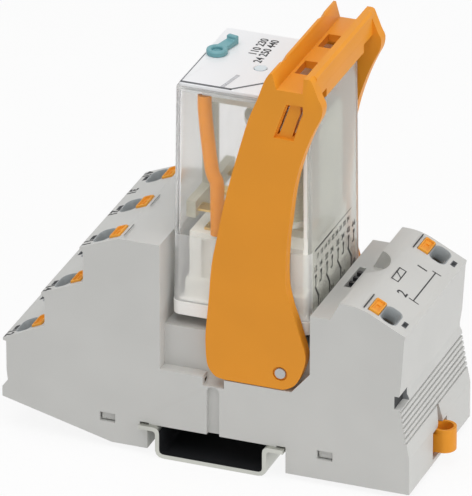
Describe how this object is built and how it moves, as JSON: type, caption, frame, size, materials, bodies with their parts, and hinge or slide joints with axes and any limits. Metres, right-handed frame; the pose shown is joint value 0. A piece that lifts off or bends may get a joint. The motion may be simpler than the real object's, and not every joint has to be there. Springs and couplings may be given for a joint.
{
  "type": "relay module",
  "caption": "Plug-in relay module: a clear relay in a rail-mounted socket with stepped push-in terminals, held and lifted out by a swinging bracket.",
  "frame": {"origin": "centre of the seat on the rail's top face, mid width", "axes": "+X from the contact terminals to the coil terminals, +Y along the rail, +Z away from the rail"},
  "size_m": [0.1027, 0.041, 0.0994],
  "materials": {
    "housing_grey": "fine satin, moulded",
    "cover_grey": "fine satin, moulded",
    "pin_white": "smooth",
    "contact_brass": "stamped",
    "spring_steel": "rolled strip",
    "black_plastic": "matte",
    "orange_plastic": "satin, moulded",
    "relay_white": "smooth",
    "tinned_pins": "tinned",
    "clear_cover": "clear plastic",
    "copper_wire": "enamelled wire",
    "bare_iron": "stamped",
    "board_green": "circuit board",
    "lamp_clear": "clear lamp",
    "lead_orange": "insulated lead",
    "teal_plastic": "satin, moulded"
  },
  "bodies": {
    "base": {"housing": "housing_grey", "bottom_cover": "cover_grey", "pivot_pin_front": "pin_white", "pivot_pin_back": "pin_white", "lower_busbars": "contact_brass", "middle_busbars": "contact_brass", "upper_busbars": "contact_brass", "coil_busbars": "contact_brass", "lower_clamp_springs": "spring_steel", "middle_clamp_springs": "spring_steel", "upper_clamp_springs": "spring_steel", "coil_clamp_springs": "spring_steel", "module_contacts": "black_plastic"},
    "relay": {"relay_base": "relay_white", "relay_pins": "tinned_pins", "relay_cover": "clear_cover", "top_plate": "relay_white", "contact_block": "relay_white", "coil_bobbin": "relay_white", "coil_winding": "copper_wire", "iron_core": "bare_iron", "yoke": "bare_iron", "fixed_contacts": "contact_brass", "indicator_board": "board_green", "indicator_lamp": "lamp_clear", "lead_wires": "lead_orange"},
    "bracket": {"bracket": "orange_plastic"},
    "rail_latch": {"rail_latch": "orange_plastic"},
    "button_lower_1": {"button_lower_1": "orange_plastic"},
    "button_lower_2": {"button_lower_2": "orange_plastic"},
    "button_lower_3": {"button_lower_3": "orange_plastic"},
    "button_middle_1": {"button_middle_1": "orange_plastic"},
    "button_middle_2": {"button_middle_2": "orange_plastic"},
    "button_middle_3": {"button_middle_3": "orange_plastic"},
    "button_upper_1": {"button_upper_1": "orange_plastic"},
    "button_upper_2": {"button_upper_2": "orange_plastic"},
    "button_upper_3": {"button_upper_3": "orange_plastic"},
    "button_coil_1": {"button_coil_1": "orange_plastic"},
    "button_coil_2": {"button_coil_2": "orange_plastic"},
    "armature": {"armature": "bare_iron"},
    "carriage": {"contact_carriage": "relay_white", "moving_contacts": "contact_brass"},
    "test_lever": {"test_lever": "teal_plastic"}
  },
  "joints": [
    {"name": "bracket_swing", "type": "hinge", "parent": "base", "child": "bracket", "pos_m": [0.01625, 0, 0.0187], "axis": [0, 1, 0], "range_deg": [0, 11.5]},
    {"name": "relay_lift", "type": "slide", "parent": "base", "child": "relay", "axis": [0, 0, 1], "range_m": [0, 0.0036]},
    {"name": "latch_pull", "type": "slide", "parent": "base", "child": "rail_latch", "axis": [1, 0, 0], "range_m": [0, 0.0024], "stiffness_N_per_m": 800, "springref_m": -0.0005},
    {"name": "button_lower_1_press", "type": "slide", "parent": "base", "child": "button_lower_1", "axis": [0.4226, 0, -0.9063], "range_m": [0, 0.0015], "stiffness_N_per_m": 400, "springref_m": -0.0005},
    {"name": "button_lower_2_press", "type": "slide", "parent": "base", "child": "button_lower_2", "axis": [0.4226, 0, -0.9063], "range_m": [0, 0.0015], "stiffness_N_per_m": 400, "springref_m": -0.0005},
    {"name": "button_lower_3_press", "type": "slide", "parent": "base", "child": "button_lower_3", "axis": [0.4226, 0, -0.9063], "range_m": [0, 0.0015], "stiffness_N_per_m": 400, "springref_m": -0.0005},
    {"name": "button_middle_1_press", "type": "slide", "parent": "base", "child": "button_middle_1", "axis": [0.3907, 0, -0.9205], "range_m": [0, 0.0015], "stiffness_N_per_m": 400, "springref_m": -0.0005},
    {"name": "button_middle_2_press", "type": "slide", "parent": "base", "child": "button_middle_2", "axis": [0.3907, 0, -0.9205], "range_m": [0, 0.0015], "stiffness_N_per_m": 400, "springref_m": -0.0005},
    {"name": "button_middle_3_press", "type": "slide", "parent": "base", "child": "button_middle_3", "axis": [0.3907, 0, -0.9205], "range_m": [0, 0.0015], "stiffness_N_per_m": 400, "springref_m": -0.0005},
    {"name": "button_upper_1_press", "type": "slide", "parent": "base", "child": "button_upper_1", "axis": [0.3746, 0, -0.9272], "range_m": [0, 0.0015], "stiffness_N_per_m": 400, "springref_m": -0.0005},
    {"name": "button_upper_2_press", "type": "slide", "parent": "base", "child": "button_upper_2", "axis": [0.3746, 0, -0.9272], "range_m": [0, 0.0015], "stiffness_N_per_m": 400, "springref_m": -0.0005},
    {"name": "button_upper_3_press", "type": "slide", "parent": "base", "child": "button_upper_3", "axis": [0.3746, 0, -0.9272], "range_m": [0, 0.0015], "stiffness_N_per_m": 400, "springref_m": -0.0005},
    {"name": "button_coil_1_press", "type": "slide", "parent": "base", "child": "button_coil_1", "axis": [-0.454, 0, -0.891], "range_m": [0, 0.0015], "stiffness_N_per_m": 400, "springref_m": -0.0005},
    {"name": "button_coil_2_press", "type": "slide", "parent": "base", "child": "button_coil_2", "axis": [-0.454, 0, -0.891], "range_m": [0, 0.0015], "stiffness_N_per_m": 400, "springref_m": -0.0005},
    {"name": "armature_pull", "type": "hinge", "parent": "relay", "child": "armature", "pos_m": [0.01835, 0, 0.07585], "axis": [0, -1, 0], "range_deg": [0, 2.1], "stiffness_Nm_per_rad": 0.04, "springref_deg": -2.86},
    {"name": "carriage_push", "type": "slide", "parent": "relay", "child": "carriage", "axis": [0, 0, -1], "range_m": [0, 0.001]},
    {"name": "test_lever_turn", "type": "hinge", "parent": "relay", "child": "test_lever", "pos_m": [-0.00715, 0.0013, 0.0855], "axis": [0, 0, -1], "range_deg": [0, 90]}
  ],
  "couplings": [
    {"joint": "relay_lift", "follows": "bracket_swing", "m_per_rad": 0.0173},
    {"joint": "carriage_push", "follows": "armature_pull", "m_per_rad": 0.0264}
  ]
}
